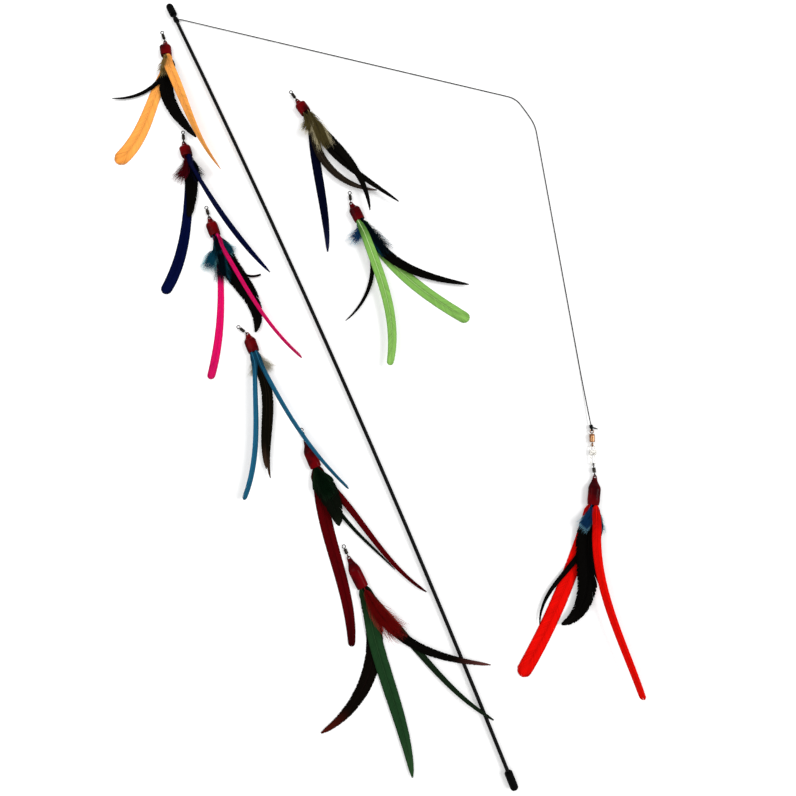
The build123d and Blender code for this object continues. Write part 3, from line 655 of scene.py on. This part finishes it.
# Feathers: sizes in millimetres, angles in degrees, widths in shares of the widest at these stations
stationShares = (0.0, 0.06, 0.12, 0.2, 0.3, 0.42, 0.56, 0.68, 0.8, 0.9, 0.96, 1.0)
featherKinds = {
    "long": dict(length=160.0, width=12.0, thick=1.2, edge=0.4, barbGap=0.42, barbWide=0.36, rootAngle=42,
                 tipAngle=26, ragged=0.03, stray=1.0, splits=2, splitAngle=2, camber=0.5, shaft=0.45),
    "hackle": dict(length=120.0, width=10.0, thick=1.2, edge=0.4, barbGap=0.42, barbWide=0.34, rootAngle=38,
                   tipAngle=22, ragged=0.14, stray=1.8, splits=2, splitAngle=3, camber=0.5, shaft=0.4),
    "tuft": dict(length=30.0, width=15.0, thick=3.6, edge=1.2, barbs=860, barbWide=0.12, shaft=0.4),
}
vaneForms = {
    "round": (0.6, 0.76, 0.83, 0.88, 0.93, 0.97, 1.0, 1.0, 1.0, 0.99, 0.97, 0.92),
    "club": (0.5, 0.62, 0.68, 0.72, 0.76, 0.82, 0.91, 0.98, 1.04, 1.05, 1.02, 0.96),
    "pointed": (0.6, 0.76, 0.85, 0.94, 1.0, 1.0, 0.96, 0.88, 0.74, 0.53, 0.34, 0.08),
    "taper": (0.9, 1.0, 1.0, 1.0, 0.98, 0.95, 0.9, 0.85, 0.78, 0.68, 0.57, 0.46),
    "strap": (0.6, 0.76, 0.86, 0.94, 1.0, 1.0, 0.98, 0.95, 0.9, 0.82, 0.74, 0.6),
    "slim": (0.8, 0.88, 0.9, 0.9, 0.89, 0.87, 0.85, 0.83, 0.81, 0.78, 0.75, 0.68),
    "blade": (0.9, 1.0, 1.02, 1.0, 0.96, 0.88, 0.78, 0.69, 0.58, 0.47, 0.37, 0.14),
    "hackle": (0.4, 0.7, 0.94, 1.02, 1.02, 0.97, 0.88, 0.76, 0.6, 0.42, 0.27, 0.08),
}
plumeLook = dict(steps=50, spread=22.0, vaneStart=6.0, mouthHalf=1.8, groundGap=0.3, layerGap=0.7, quill=1.3,
                 quillDepth=6.0, quillGap=0.05, roomShare=0.8, lowest=0.12, shaftShare=0.95, shaftPoints=30,
                 shaftTaper=0.22)
overSleeve = 9.2  # heights above the surface, in millimetres
overSwivel = 4.9
overRod = 6.2
bladeLayer = 1.9


def plume(kind, dye, side, length, width, splay, curl=0, sweep=0, roll=0, over=0.0, overShare=1.0,
          form="hackle", twist=0, bare=0.04):
    return dict(kind=kind, dye=dye, side=side, length=length, width=width, splay=splay, curl=curl,
                sweep=sweep, roll=roll, over=over, overShare=overShare, form=form, twist=twist, bare=bare)


# Each lure: its tab hole, heading, sleeve length share, and layers of feathers from the surface up
lures = {
    "orange": dict(hole=(-47.385, 803.994), heading=-103, sleeve=0.65, layers=(
        (plume("long", "orange", -0.42, 0.79, 1.22, -43, 83, -101, form="club"),),
        (plume("hackle", "black", -0.15, 0.68, 0.45, -7, -125, 28),),
        (plume("hackle", "black", 0.2, 0.84, 1.4, -54, 185, -99),),
        (plume("tuft", "khakiDown", -0.3, 0.75, 0.75, -20),),
        (plume("long", "orange", 0.42, 0.9, 0.98, 20, -36, 48, 46, form="round", twist=84),
         plume("tuft", "khakiDown", 0.1, 0.6, 0.6, -6)))),
    "navy": dict(hole=(-67.129, 692.081), heading=-95, sleeve=0.62, layers=(
        (plume("long", "navy", -0.38, 0.91, 0.9, -18, 13, -43, form="club"),),
        (plume("hackle", "black", 0.05, 0.54, 1.5, -22, 38, -46, form="blade"),),
        (plume("tuft", "crimsonDown", -0.5, 0.9, 0.85, -50), plume("tuft", "inkDown", 0.5, 1.0, 0.7, 12)),
        (plume("long", "navy", 0.38, 0.96, 0.75, 11, 12, 5, 55, form="pointed", twist=-22),))),
    "pink": dict(hole=(-70.531, 607.197), heading=-91, sleeve=0.8, layers=(
        (plume("long", "pink", -0.38, 0.91, 0.62, -13, -11, -11, form="club"),),
        (plume("hackle", "black", 0.1, 0.92, 1.9, -28, 188, -203),
         plume("hackle", "black", 0.15, 0.57, 0.28, 6, -34, 124, form="slim")),
        (plume("tuft", "deepTealDown", -0.1, 1.8, 0.8, -12),
         plume("tuft", "tealDown", -0.5, 1.25, 0.8, -38, bare=0.4),
         plume("tuft", "tealDown", 0.4, 0.9, 0.7, 34)),
        (plume("long", "pink", 0.38, 0.97, 0.72, 12, -19, 37, 62, form="round", twist=22),
         plume("tuft", "deepTealDown", 0.05, 0.7, 0.6, -4)))),
    "blue": dict(hole=(-76.8, 481.42), heading=-90, sleeve=0.78, layers=(
        (plume("tuft", "creamDown", -0.4, 0.8, 0.7, -32), plume("tuft", "creamDown", 0.4, 0.8, 0.75, 34)),
        (plume("hackle", "blackBrown", -0.05, 0.97, 0.95, 29, -174, 139),
         plume("hackle", "blackBrown", 0.08, 1.05, 0.7, 29, -168, 132)),
        (plume("long", "tealBlue", -0.38, 0.9, 0.65, -23, 29, -50, -66, form="round"),
         plume("long", "tealBlue", 0.38, 1.02, 0.65, 5, 7, 14, 55, overSleeve, 0.5,
               form="round", twist=22)))),
    "maroon": dict(hole=(-61.92, 361.896), heading=-89, sleeve=1.1, layers=(
        (plume("long", "maroon", -0.42, 1.06, 1.0, -24, 71, -71, form="taper"),),
        (plume("hackle", "darkGreen", 0.15, 1.03, 0.35, -15, 100, -64),),
        (plume("long", "maroon", 0.42, 0.98, 0.54, 29, -64, 71, 12, form="blade"),),
        (plume("hackle", "darkGreen", -0.1, 0.5, 2.0, 6, 17, -41),),
        (plume("tuft", "greenDown", 0.2, 1.0, 0.9, 4),))),
    "forest": dict(hole=(-63.895, 243.966), heading=-85, sleeve=1.2, layers=(
        (plume("hackle", "blackRed", -0.3, 1.25, 1.5, 3, -95, 3),),
        (plume("long", "forest", -0.38, 1.09, 1.05, -23, 55, -52, form="pointed"),
         plume("long", "deepForest", 0.38, 1.05, 0.6, 20, -31, 45, 12, overRod, 0.85, form="blade")),
        (plume("hackle", "blackPink", 0.3, 1.2, 0.85, -15, 134, -62, 0, overRod, 0.7),),
        (plume("tuft", "redDown", 0.2, 2.0, 1.1, -4, 34),))),
    "olive": dict(hole=(56.626, 691.509), heading=-78, sleeve=0.68, layers=(
        (plume("long", "ink", -0.38, 0.93, 0.72, -32, 33, -34, form="pointed"),),
        (plume("hackle", "brown", -0.1, 1.01, 0.8, -42, 86, 10, 0, overSwivel, 0.6),),
        (plume("hackle", "inkBrown", 0.3, 1.15, 0.75, -25, 109, -65, 0, overSwivel + bladeLayer, 0.6),),
        (plume("hackle", "inkBrown", 0.05, 1.07, 0.8, 8, 15, -53, 0, overSwivel + 2 * bladeLayer, 0.6),),
        (plume("tuft", "oliveDown", -0.45, 0.8, 0.8, -52), plume("tuft", "oliveDown", 0.45, 1.7, 0.9, -12)))),
    "green": dict(hole=(67.057, 567.444), heading=-85, sleeve=0.8, layers=(
        (plume("long", "lime", 0.38, 0.94, 0.95, -2, 58, -24, form="round"),),
        (plume("hackle", "black", -0.3, 0.94, 0.45, 13, -97, 6),),
        (plume("hackle", "black", 0.3, 1.11, 0.95, -13, 124, -57),),
        (plume("tuft", "blueDown", -0.5, 0.85, 0.85, -72), plume("tuft", "deepTealDown", 0.5, 1.6, 0.8, 10)),
        (plume("long", "lime", -0.38, 0.96, 0.76, -9, 20, -51, form="strap"),))),
    "red": dict(hole=(182.288, 225.265), heading=-119, sleeve=1.05, layers=(
        (plume("long", "red", -0.42, 1.08, 1.15, -10, -15, -1, form="round"),),
        (plume("hackle", "black", -0.15, 1.05, 0.5, 37, -261, 235),),
        (plume("hackle", "black", 0.1, 1.01, 2.2, -40, 209, -240),),
        (plume("tuft", "blueDown", -0.35, 0.8, 0.8, -38), plume("tuft", "tealDown", 0.62, 0.9, 0.6, 18)),
        (plume("long", "red", 0.38, 1.12, 0.7, -8, 90, -58, 30, form="slim", twist=20),))),
}


def halfHeight(blade):
    kind = featherKinds[blade["kind"]]
    roll = math.radians(abs(blade["roll"]))
    rolled = kind["width"] * blade["width"] * math.sin(roll) + kind["edge"] * math.cos(roll)
    return max(rolled / 2, kind["thick"] * math.cos(roll) / 2)


# The shaft's line: place, directions across and over the vane, and half its width, at each step
class Spine:
    def __init__(self, lure, layer, blade, level, place):
        kind = featherKinds[blade["kind"]]
        look = plumeLook
        self.length = kind["length"] * blade["length"]
        self.half = kind["width"] * blade["width"] / 2
        self.outline = list(zip(stationShares, vaneForms[blade["form"]]))
        self.tipRun = self.half * self.outline[-1][1]  # the rounding of the end
        mouth = sleeveLook["length"] * lure["sleeve"]
        room = sleeveLook["height"] - 2 * sleeveLook["wall"] - look["quill"] - 2 * look["quillGap"]
        row = layer / (len(lure["layers"]) - 1) - 0.5
        side = blade["side"] * sleeveLook["width"] / 2
        root = sleeveLook["height"] / 2 + row * room * look["roomShare"]
        cruise = level + halfHeight(blade)
        turn = place.to_3x3()
        point = Vector((mouth, side, 0))
        self.quill = place @ Vector((mouth - look["quillDepth"], side, root))
        self.places, self.across, self.over = [], [], []
        for step in range(look["steps"] + 1):
            share = step / look["steps"]
            spread = ease(share * self.length / look["spread"])
            rise = root + (cruise - root) * spread
            rise += max(blade["over"] - level, 0) * ease(2 * share / blade["overShare"] - 1)
            bend = blade["splay"] * spread + blade["curl"] * share + blade["sweep"] * share * share
            heading = math.radians(bend)
            roll = math.radians(blade["roll"] + blade["twist"] * (share - 0.5)) * spread
            sideways = Vector((-math.sin(heading), math.cos(heading), 0))
            self.places.append(place @ Vector((point.x, point.y, rise)))
            self.across.append((turn @ (sideways * math.cos(roll) + upward * math.sin(roll))).normalized())
            self.over.append((turn @ (upward * math.cos(roll) - sideways * math.sin(roll))).normalized())
            point += Vector((math.cos(heading), math.sin(heading), 0)) * (self.length / look["steps"])

    def at(self, distance, lateral, rise):
        spot = min(max(distance / self.length * plumeLook["steps"], 0.0), plumeLook["steps"] - 1e-6)
        low = int(spot)
        share = spot - low
        past = (distance - min(max(distance, 0.0), self.length)) * mm
        over = self.over[low].lerp(self.over[low + 1], share)
        across = self.across[low].lerp(self.across[low + 1], share)
        place = self.places[low].lerp(self.places[low + 1], share)
        place = place + (self.places[low + 1] - self.places[low]).normalized() * past
        place = place + (across * lateral + over * rise) * mm
        place.z = max(place.z, (floorLevel + plumeLook["lowest"]) * mm)
        return place, over

    def halfWidth(self, distance):
        full = self.half * readTable(self.outline, distance / self.length, 1)
        spread = ease(distance / plumeLook["vaneStart"])
        wide = full * spread + min(full, plumeLook["mouthHalf"]) * (1 - spread)
        gone = min(max(1 - (self.length - distance) / self.tipRun, 0.0), 1.0)
        return wide * math.sqrt(1 - gone * gone)


# Sections that the barbs are drawn with, in millimetres: a flat one for vanes, a fuller one for down
def makeSection(name, corners):
    data = bpy.data.curves.new(name, "CURVE")
    data.dimensions = "2D"
    outline = data.splines.new("POLY")
    outline.points.add(len(corners) - 1)
    for point, (across, over) in zip(outline.points, corners):
        point.co = (across * mm, over * mm, 0, 1)
    outline.use_cyclic_u = True
    return linkObject(name, data)


barbSection = makeSection("barbSection", ((-1, -0.12), (0, 0.26), (1, -0.12)))
downSection = makeSection("downSection", ((-0.87, -0.5), (0, 1), (0.87, -0.5)))


# Turns a list of barbs into one mesh of thin closed ribbons that know where they are on the feather
def drawBarbs(name, barbs, section):
    data = bpy.data.curves.new(name, "CURVE")
    data.dimensions = "3D"
    data.twist_mode = "Z_UP"
    data.bevel_mode = "OBJECT"
    data.bevel_object = section
    corners = len(section.data.splines[0].points)
    notes = {"along": [], "out": [], "tone": []}
    for barb in barbs:
        count = len(barb["points"])
        spline = data.splines.new("POLY")
        spline.points.add(count - 1)
        spline.points.foreach_set("co", [value for place in barb["points"] for value in (*place, 1.0)])
        spline.points.foreach_set("radius", barb["radii"])
        spline.points.foreach_set("tilt", barb["tilts"])
        for n in range(count):
            notes["along"] += [barb["along"][n]] * corners
            notes["out"] += [n / (count - 1)] * corners
            notes["tone"] += [barb["tone"]] * corners
    holder = linkObject(name, data)
    mesh = meshOf(holder)
    dropObject(holder)
    notes["shaft"] = [0.0] * len(mesh.vertices)
    for label, values in notes.items():
        mesh.attributes.new(label, "FLOAT", "POINT").data.foreach_set("value", np.array(values, np.float32))
    bm = bmesh.new()
    bm.from_mesh(mesh)
    bmesh.ops.holes_fill(bm, edges=[edge for edge in bm.edges if edge.is_boundary], sides=corners)
    bm.to_mesh(mesh)
    bm.free()
    return mesh


def drawShaft(name, spine, radius):
    reach = spine.length * plumeLook["shaftShare"]
    count = plumeLook["shaftPoints"]
    points = [spine.quill] + [spine.at(reach * n / count, 0, 0)[0] for n in range(count + 1)]
    mesh = roundTube(name, [points], radius, plumeLook["shaftTaper"], 0)
    values = np.ones(len(mesh.vertices), np.float32)
    for label, level in (("along", 0.5), ("out", 0.0), ("tone", 0.6), ("shaft", 1.0)):
        mesh.attributes.new(label, "FLOAT", "POINT").data.foreach_set("value", values * level)
    return mesh


def tiltTo(points, overs, extra):
    tilts = []
    for n, over in enumerate(overs):
        tangent = (points[min(n + 1, len(points) - 1)] - points[max(n - 1, 0)]).normalized()
        rest = (upward - tangent * upward.dot(tangent)).normalized()
        tilts.append(math.atan2(rest.cross(over).dot(tangent), rest.dot(over)) + extra)
    return tilts


# How far a barb runs before it meets the vane's outline
def barbReach(spine, distance, angle):
    low, high = 0.0, spine.length - distance + 1.0
    for _ in range(16):  # halves the range each time
        middle = (low + high) / 2
        if middle * math.sin(angle) < spine.halfWidth(distance + middle * math.cos(angle)):
            low = middle
        else:
            high = middle
    return low


# Barbs of a vane, along both sides of the shaft, which fan out round its end
vaneLook = dict(points=5, root=-1.0, splitPlaces=(0.2, 0.9), splitRun=2.4, strayRun=6, strayAtRoot=0.3,
                fanStart=0.84, fanShare=0.94, thinning=0.4, louvre=9.0, louvreStray=3, tone=(0.55, 0.2),
                gapStray=(0.85, 1.15))


def vaneBarbs(spine, kind, draw, seed):
    look = vaneLook
    count = look["points"]
    vaneEnd = plumeLook["shaftShare"]
    barbs = []
    for side in (-1, 1):
        splits = [draw.uniform(*look["splitPlaces"]) * spine.length for _ in range(kind["splits"])]
        distance = look["root"]
        while distance < spine.length * vaneEnd:
            share = distance / spine.length
            lean = noise.noise(Vector((distance / look["strayRun"], side * 5, seed))) * kind["stray"]
            for split in splits:
                gap = distance - split
                lean += math.copysign(math.exp(-abs(gap) / look["splitRun"]), gap) * -kind["splitAngle"]
            fan = 1 - look["fanShare"] * ease((share - look["fanStart"]) / (vaneEnd - look["fanStart"]))
            first = math.radians(kind["rootAngle"] + lean * look["strayAtRoot"]) * fan
            last = math.radians(kind["tipAngle"] + lean) * fan
            run = barbReach(spine, distance, (first + last) / 2)
            run *= 1 - kind["ragged"] * draw.random() ** 2
            stride = run / (count - 1)
            along, lateral = distance, 0.0
            points, overs, radii = [], [], []
            for n in range(count):
                edge = lateral / max(spine.half, 0.1)
                place, over = spine.at(along, side * lateral, -kind["camber"] * edge * edge)
                points.append(place)
                overs.append(over)
                radii.append(kind["barbWide"] * (1 - look["thinning"] * (n / (count - 1)) ** 2))
                angle = first + (last - first) * n / (count - 1)
                along += math.cos(angle) * stride
                lateral += math.sin(angle) * stride
            stray = draw.uniform(-look["louvreStray"], look["louvreStray"])
            tilts = tiltTo(points, overs, side * math.radians(look["louvre"] + stray))
            tone = min(max(draw.gauss(*look["tone"]), 0.0), 1.0)
            barbs.append(dict(points=points, radii=radii, tilts=tilts, along=[share] * count, tone=tone))
            distance += kind["barbGap"] * draw.uniform(*look["gapStray"])
    return barbs


# Wisps of down that stand off the shaft every way and bend forward
# The down's tip colour is laid on the tuft's edges and end: partly paler fibre ends, partly a painted halo of
# light
downLook = dict(points=6, lastStart=0.7, fan=1.2, shortest=0.45, longer=1.35, fewLong=1.6, lengthShare=0.12,
                rootRun=0.4, rootEnds=0.4, tall=(-0.9, 1.2), swing=(0.1, 0.7), straighten=0.45, sideWave=5,
                riseWave=4, thinning=0.7, tipsAndHaloSide=0.06, tipsAndHaloStart=0.55, tipsAndHaloGain=2.2, tipsAndHaloOut=0.2,
                tone=(0.5, 0.25))


def downBarbs(spine, kind, blade, draw):
    look = downLook
    count = look["points"]
    barbs = []
    wisps = int(kind["barbs"] * (0.4 + 0.6 * blade["length"]) * (0.5 + 0.5 * blade["width"]))
    for _ in range(wisps):
        start = spine.length * draw.uniform(blade["bare"], look["lastStart"])
        fan = draw.uniform(-1, 1) * look["fan"]
        run = spine.half * (look["shortest"] + look["longer"] * draw.random() ** look["fewLong"])
        run += spine.length * look["lengthShare"]
        run *= look["rootRun"] + (1 - look["rootRun"]) * ease(start / spine.length / look["rootEnds"])
        tall = kind["thick"] / 2 * draw.uniform(*look["tall"])
        wave = draw.uniform(0, 2 * math.pi)
        swing = draw.uniform(*look["swing"])
        points, radii, edges = [], [], []
        for n in range(count):
            share = n / (count - 1)
            lean = fan * (1 - look["straighten"] * share)
            along = start + run * share * math.cos(lean)
            lateral = run * share * math.sin(lean) + math.sin(wave + share * look["sideWave"]) * swing * share
            rise = tall * share ** 0.7 + math.cos(wave + share * look["riseWave"]) * swing * 0.5 * share
            points.append(spine.at(along, lateral, rise)[0])
            radii.append(kind["barbWide"] * (1 - look["thinning"] * share))
            # Mask for the tip colour at the tuft's edges and end, partly a painted halo of light
            ahead = (along / spine.length - look["tipsAndHaloStart"]) * look["tipsAndHaloGain"]
            edge = max(abs(lateral) / spine.half + look["tipsAndHaloSide"], ahead)
            edges.append(min(max(edge, look["tipsAndHaloOut"] * share), 1.0))  # pale at the edge and end of the tuft: partly the down's paler fibre ends, partly a painted halo of light
        tone = min(max(draw.gauss(*look["tone"]), 0.0), 1.0)
        barbs.append(dict(points=points, radii=radii, tilts=[0.0] * count, along=edges, tone=tone))
    return barbs


def makeFeather(name, lure, layer, blade, level, place, seed):
    kind = featherKinds[blade["kind"]]
    draw = random.Random(seed)
    spine = Spine(lure, layer, blade, level, place)
    if blade["kind"] == "tuft":
        barbs = drawBarbs(name, downBarbs(spine, kind, blade, draw), downSection)
    else:
        barbs = drawBarbs(name, vaneBarbs(spine, kind, draw, seed * 0.37), barbSection)
    shaft = drawShaft(name + "Shaft", spine, kind["shaft"])
    return linkObject(name, joinMeshes(name, [barbs, shaft]))


def makeLure(name, lure, number):
    place = Matrix.Scale(mm, 4) @ Matrix.Translation((*lure["hole"], floorLevel))
    place = place @ Matrix.Rotation(math.radians(lure["heading"]), 4, "Z")
    body = name + "_lure"
    sleeve = makeSleeve(name + "Sleeve", lure["sleeve"], place, number * 3.7)
    dressPiece(sleeve, finishes["sleeveRed"], body, "sleeve_red", name + "_sleeve")
    dressNode(name + "_eye", "darkNickel")
    dressNode(name + "_swivel", "darkNickel")
    level = plumeLook["groundGap"]
    made = 0
    for layer, blades in enumerate(lure["layers"]):
        for blade in blades:
            made += 1
            label = f"{name}.{blade['kind']}.{made}"
            piece = makeFeather(label, lure, layer, blade, level, place, number * 40 + made)
            tail = blade["kind"] == "long"
            slot = name + ("_feather" if tail else "_hackle")
            node = name + ("_long_feathers" if tail else "_hackles")
            dressPiece(piece, dyeMaterials[blade["dye"]], body, slot, node)
        level += 2 * max(halfHeight(blade) for blade in blades) + plumeLook["layerGap"]
    print("lure:", name, made, "feathers")


for lureNumber, (lureName, lureLook) in enumerate(lures.items(), 1):
    makeLure(lureName, lureLook, lureNumber)
dropObject(barbSection)
dropObject(downSection)

# Floor, light and world
stageLook = dict(floorSize=6.0, floorMiddle=0.4, floorDrop=0.02, floorTone=0.88, floorRough=0.9,
                 floorGloss=0.1, floorGlow=0.2, skyLight=0.62, sunLight=1.5, sunSpread=24.0,
                 sunFrom=(0.85, -0.25, 1.0), boxLight=2.2, boxSize=0.5, boxPlace=(-0.35, 0.75, 0.75),
                 boxAim=(0.05, 0.45, 0))


# Rays that see the plain background, on the floor and in the world
def backgroundRays(tree):
    path = addNode(tree, "ShaderNodeLightPath")
    mask = path.outputs["Is Camera Ray"]
    for label in ("Is Glossy Ray", "Is Transmission Ray"):
        either = addNode(tree, "ShaderNodeMath", operation="MAXIMUM")
        tree.links.new(mask, either.inputs[0])
        tree.links.new(path.outputs[label], either.inputs[1])
        mask = either.outputs[0]
    return mask


def makeFloor(look):
    bm = bmesh.new()
    bmesh.ops.create_grid(bm, x_segments=2, y_segments=2, size=look["floorSize"] / 2)
    lower = (floorLevel - look["floorDrop"]) * mm
    bmesh.ops.translate(bm, vec=(0, look["floorMiddle"], lower), verts=bm.verts)
    mesh = takeMesh("floor", bm)
    material = bpy.data.materials.new("paleFloor")
    material.use_nodes = True
    tree = material.node_tree
    shader = tree.nodes["Principled BSDF"]
    tone = look["floorTone"]
    shader.inputs["Base Color"].default_value = (tone, tone, tone, 1)
    shader.inputs["Roughness"].default_value = look["floorRough"]
    shader.inputs["Specular IOR Level"].default_value = look["floorGloss"]
    glow = addNode(tree, "ShaderNodeEmission")
    scaled = addNode(tree, "ShaderNodeMath", operation="MULTIPLY")
    scaled.inputs[1].default_value = look["floorGlow"]
    tree.links.new(backgroundRays(tree), scaled.inputs[0])
    tree.links.new(scaled.outputs[0], glow.inputs["Strength"])
    both = addNode(tree, "ShaderNodeAddShader")
    tree.links.new(shader.outputs[0], both.inputs[0])
    tree.links.new(glow.outputs[0], both.inputs[1])
    tree.links.new(both.outputs[0], tree.nodes["Material Output"].inputs["Surface"])
    mesh.materials.append(material)
    linkObject("floor", mesh)


def makeLights(look):
    world = bpy.data.worlds.new("paleRoom")
    world.use_nodes = True
    tree = world.node_tree
    sky = tree.nodes["Background"]
    level = addRange(tree, backgroundRays(tree), 0, 1, look["skyLight"], 1.0)
    tree.links.new(level, sky.inputs["Strength"])
    sky.inputs["Color"].default_value = (1, 1, 1, 1)
    scene.world = world
    sun = bpy.data.lights.new("windowSun", "SUN")
    sun.energy = look["sunLight"]
    sun.angle = math.radians(look["sunSpread"])
    sunObject = linkObject("windowSun", sun)
    sunObject.rotation_euler = Vector(look["sunFrom"]).to_track_quat("Z", "Y").to_euler()
    box = bpy.data.lights.new("softBox", "AREA")
    box.energy = look["boxLight"]
    box.size = look["boxSize"]
    boxObject = linkObject("softBox", box)
    boxObject.location = look["boxPlace"]
    aim = Vector(look["boxPlace"]) - Vector(look["boxAim"])
    boxObject.rotation_euler = aim.to_track_quat("Z", "Y").to_euler()


makeFloor(stageLook)
makeLights(stageLook)
scene.view_settings.view_transform = "Standard"
print("stage set")
